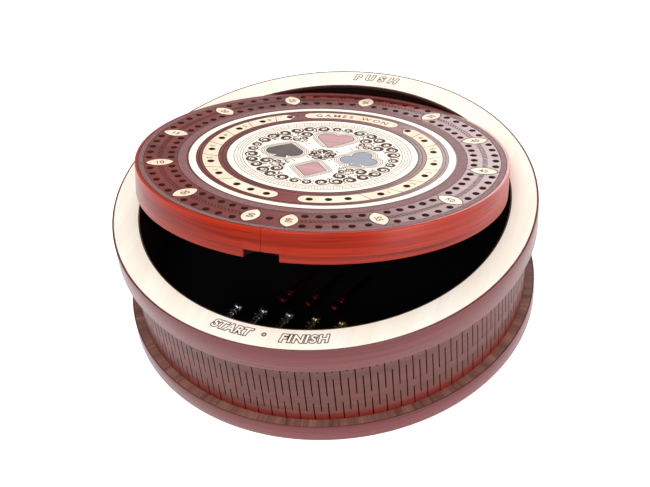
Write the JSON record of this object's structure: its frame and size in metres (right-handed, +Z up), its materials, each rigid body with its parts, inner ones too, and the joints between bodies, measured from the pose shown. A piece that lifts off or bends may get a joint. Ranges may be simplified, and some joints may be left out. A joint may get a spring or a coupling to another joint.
{
  "type": "cribbage box",
  "caption": "Round wooden cribbage box: a slit bent-wood drum with a tilting lid that is the peg board, and metal pegs inside.",
  "frame": {"origin": "middle of the underside of the base", "axes": "+Z up, -Y to the front (START and FINISH side, where the lid rises), +Y to the back (where the lid is pushed), +X to the right"},
  "size_m": [0.19, 0.19, 0.1015],
  "materials": {
    "red_wood": "lacquered red hardwood, semi-gloss",
    "slit_panel": "red-brown plywood panel, laser slit, semi-gloss",
    "walnut": "walnut veneer, satin",
    "maple": "pale maple, satin lacquer",
    "black_lining": "black velvet",
    "rose_wood": "rose-coloured veneer, satin",
    "dark_wood": "dark brown veneer, satin",
    "grey_wood": "grey dyed veneer, satin",
    "steel": "polished nickel plate",
    "brass": "polished brass",
    "red_metal": "dark red anodised metal",
    "pin_steel": "plain steel rod"
  },
  "bodies": {
    "box": {"base_plate": "red_wood", "base_veneer_ring": "walnut", "drum_sleeve": "black_lining", "drum_wall": "slit_panel", "floor_lining": "black_lining", "peg_brass_1": "brass", "peg_brass_2": "brass", "peg_brass_3": "brass", "peg_red_1": "red_metal", "peg_red_2": "red_metal", "peg_red_3": "red_metal", "peg_steel_1": "steel", "peg_steel_2": "steel", "peg_steel_3": "steel", "pivot_pin_left": "pin_steel", "pivot_pin_right": "pin_steel", "rim_core": "red_wood", "rim_plate": "maple", "stop_tab": "red_wood"},
    "lid": {"centre_disc": "maple", "lid_base": "red_wood", "lid_board": "red_wood", "lid_edge_band": "red_wood", "maple_ring": "maple", "number_lozenge_00": "maple", "number_lozenge_05": "maple", "number_lozenge_10": "maple", "number_lozenge_15": "maple", "number_lozenge_20": "maple", "number_lozenge_25": "maple", "number_lozenge_30": "maple", "number_lozenge_35": "maple", "number_lozenge_40": "maple", "number_lozenge_45": "maple", "number_lozenge_50": "maple", "number_lozenge_55": "maple", "number_lozenge_60": "maple", "suit_club": "grey_wood", "suit_diamond": "rose_wood", "suit_heart": "rose_wood", "suit_spade": "dark_wood", "tally_arc_left": "maple", "tally_arc_right": "maple", "tally_plate": "maple"}
  },
  "joints": [
    {"name": "lid_tilt", "type": "hinge", "parent": "box", "child": "lid", "pos_m": [0, 0.0675, 0.05405], "axis": [-1, 0, 0], "range_deg": [-17.65, 2.35]}
  ]
}
